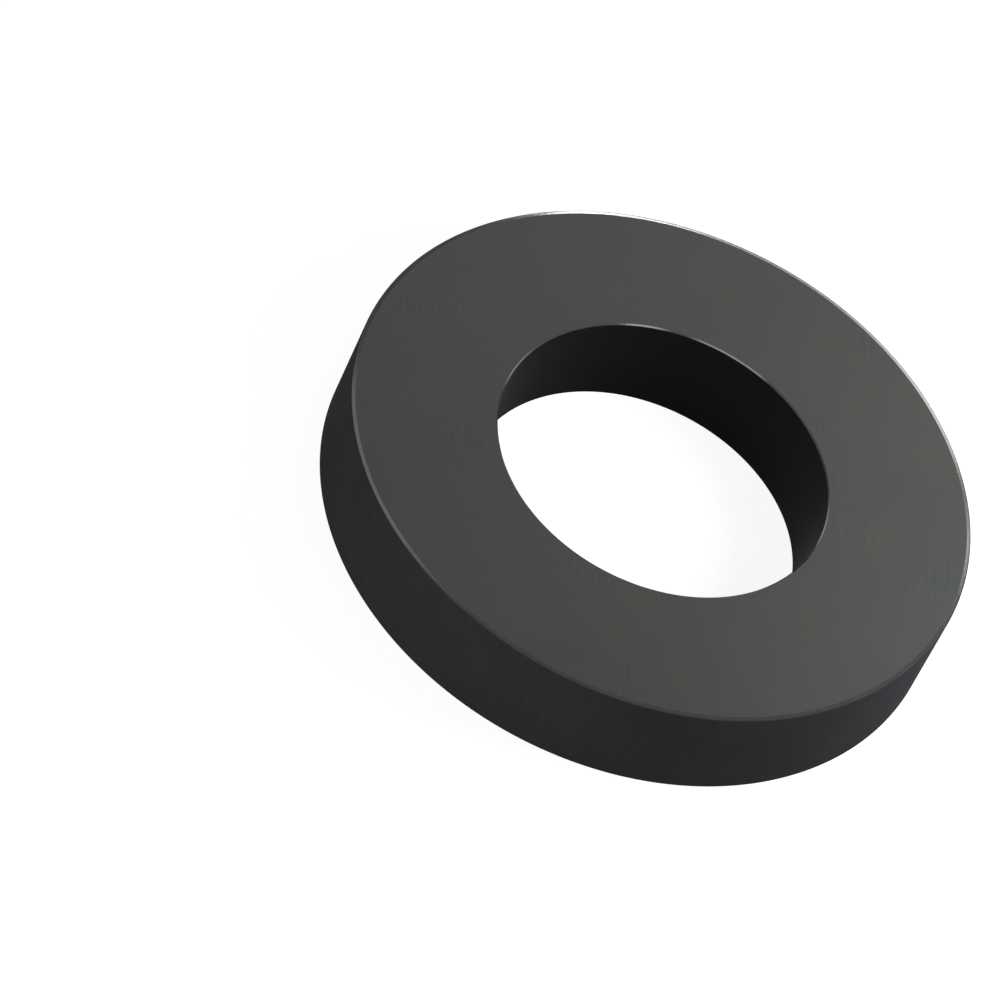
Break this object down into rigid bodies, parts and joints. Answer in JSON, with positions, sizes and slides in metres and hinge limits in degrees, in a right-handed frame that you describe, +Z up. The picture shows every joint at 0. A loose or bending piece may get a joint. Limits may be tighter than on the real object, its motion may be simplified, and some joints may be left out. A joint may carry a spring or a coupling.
{
  "type": "ring magnet",
  "caption": "Flat ring of dark hard-ferrite ceramic magnet with a wide through bore, ground faces and lightly broken edges.",
  "frame": {"origin": "centre of the bore on the lower face, on the plane that the ring lies on", "axes": "+Z up along the axis of the bore; the ring is round, so X and Y are any two directions across it"},
  "size_m": [0.06, 0.06, 0.01],
  "materials": {
    "ferrite": "dark grey sintered ferrite: faces ground to a soft satin sheen, rim and bore left as sintered, edges slightly brighter"
  },
  "bodies": {
    "root": {"ring_magnet": "ferrite"}
  },
  "joints": []
}
